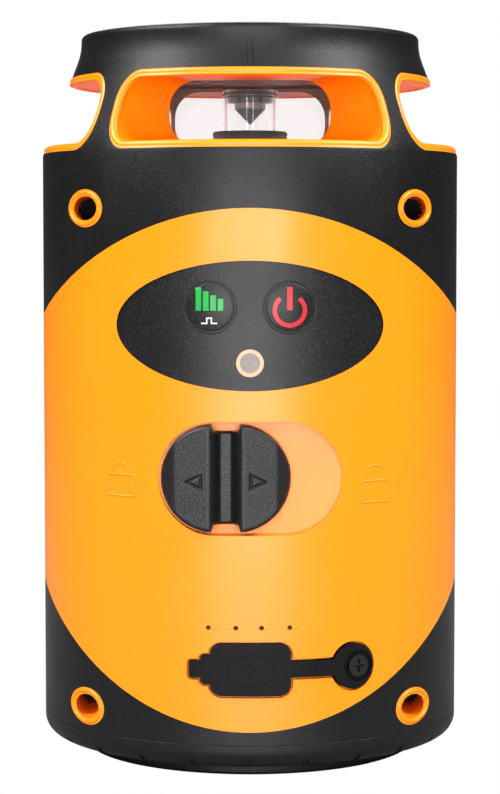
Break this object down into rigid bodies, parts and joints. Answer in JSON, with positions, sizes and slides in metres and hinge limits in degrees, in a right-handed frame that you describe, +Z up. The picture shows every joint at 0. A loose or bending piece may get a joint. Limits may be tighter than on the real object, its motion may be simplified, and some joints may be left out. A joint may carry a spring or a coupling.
{
  "type": "self-levelling laser level",
  "caption": "Round housing with a rubber jacket, keypad, lock slider and windowed head over a gimballed laser pendulum with a fixed cone mirror.",
  "frame": {"origin": "middle of the tripod thread's mouth, on the plane the object stands on", "axes": "+Z up along the housing's axis, -Y the front with the keypad, +X to the right seen from the front"},
  "size_m": [0.104, 0.1044, 0.178],
  "materials": {
    "orange_abs": "fine satin moulding grain",
    "black_rubber": "spark-eroded grain",
    "black_abs": "spark-eroded grain",
    "clear_pane": "polished",
    "optical_glass": "polished",
    "mirror_metal": "polished",
    "screw_steel": "black zinc",
    "bright_steel": "ground",
    "brass": "turned",
    "copper": "turned",
    "aluminium": "cast and turned",
    "circuit_board": "solder mask",
    "switch_plastic": "moulded",
    "cell_wrap": "shrink wrap",
    "lamp_ring": "translucent",
    "lamp_window": "translucent"
  },
  "bodies": {
    "housing": {"front_shell": "orange_abs", "rear_shell": "orange_abs", "front_rubber_jacket": "black_rubber", "rear_rubber_jacket": "black_rubber", "top_cap": "black_rubber", "head_ceiling": "black_abs", "ceiling_screws": "screw_steel", "front_pane": "clear_pane", "right_pane": "clear_pane", "rear_pane": "clear_pane", "left_pane": "clear_pane", "base_ring": "black_rubber", "base_plate": "black_abs", "tripod_insert": "brass", "base_screws": "screw_steel", "clamp_screws": "screw_steel", "keypad_panel": "black_abs", "key_board": "circuit_board", "tact_switches": "switch_plastic", "indicator_ring": "lamp_ring", "indicator_window": "lamp_window", "gimbal_bracket": "aluminium", "bracket_screws": "screw_steel", "outer_bearings": "bright_steel", "magnet_plate": "aluminium", "damper_magnets": "bright_steel", "frame_posts": "bright_steel", "lifter_guide_pins": "bright_steel", "cover_anchor": "black_rubber", "cover_screw": "screw_steel", "usb_port": "bright_steel", "charge_light_pipes": "lamp_window", "charge_board": "circuit_board", "main_board": "circuit_board", "battery_cells": "cell_wrap", "battery_holder": "switch_plastic"},
    "lock_slider": {"lock_knob": "black_abs", "lock_carriage": "switch_plastic", "knob_screws": "screw_steel"},
    "lock_lifter": {"lock_lifter": "switch_plastic", "lock_pad": "black_rubber"},
    "gimbal_ring": {"gimbal_ring": "aluminium", "outer_pins": "bright_steel", "inner_bearings": "bright_steel"},
    "pendulum": {"pendulum_body": "aluminium", "inner_pins": "bright_steel", "laser_barrel": "brass", "laser_diode": "bright_steel", "collimator_lens": "optical_glass", "counterweight": "brass", "calibration_screws": "screw_steel", "damper_disc": "copper", "optics_base": "black_abs", "glass_tube": "optical_glass", "cone_mirror": "mirror_metal", "mirror_holder": "black_abs"},
    "mode_button": {"mode_button": "black_rubber"},
    "power_button": {"power_button": "black_rubber"},
    "usb_cover": {"usb_cover": "black_rubber"}
  },
  "joints": [
    {"name": "lock_slide", "type": "slide", "parent": "housing", "child": "lock_slider", "axis": [1, 0, 0], "range_m": [0, 0.0117]},
    {"name": "lock_lift", "type": "slide", "parent": "housing", "child": "lock_lifter", "axis": [0, 0, -1], "range_m": [0, 0.004]},
    {"name": "gimbal_pitch", "type": "hinge", "parent": "housing", "child": "gimbal_ring", "pos_m": [0, 0, 0.125], "axis": [1, 0, 0], "range_deg": [-4, 4]},
    {"name": "gimbal_roll", "type": "hinge", "parent": "gimbal_ring", "child": "pendulum", "pos_m": [0, 0, 0.125], "axis": [0, 1, 0], "range_deg": [-4, 4]},
    {"name": "mode_button_press", "type": "slide", "parent": "housing", "child": "mode_button", "axis": [0, 1, 0], "range_m": [0, 0.0006], "stiffness_N_per_m": 2000, "springref_m": -0.0002},
    {"name": "power_button_press", "type": "slide", "parent": "housing", "child": "power_button", "axis": [0, 1, 0], "range_m": [0, 0.0006], "stiffness_N_per_m": 2000, "springref_m": -0.0002},
    {"name": "usb_cover_swing", "type": "hinge", "parent": "housing", "child": "usb_cover", "pos_m": [0.0176, -0.0484, 0.02715], "axis": [0, 0, 1], "range_deg": [0, 100]}
  ],
  "couplings": [
    {"joint": "lock_lift", "follows": "lock_slide", "ratio": 0.34188}
  ]
}
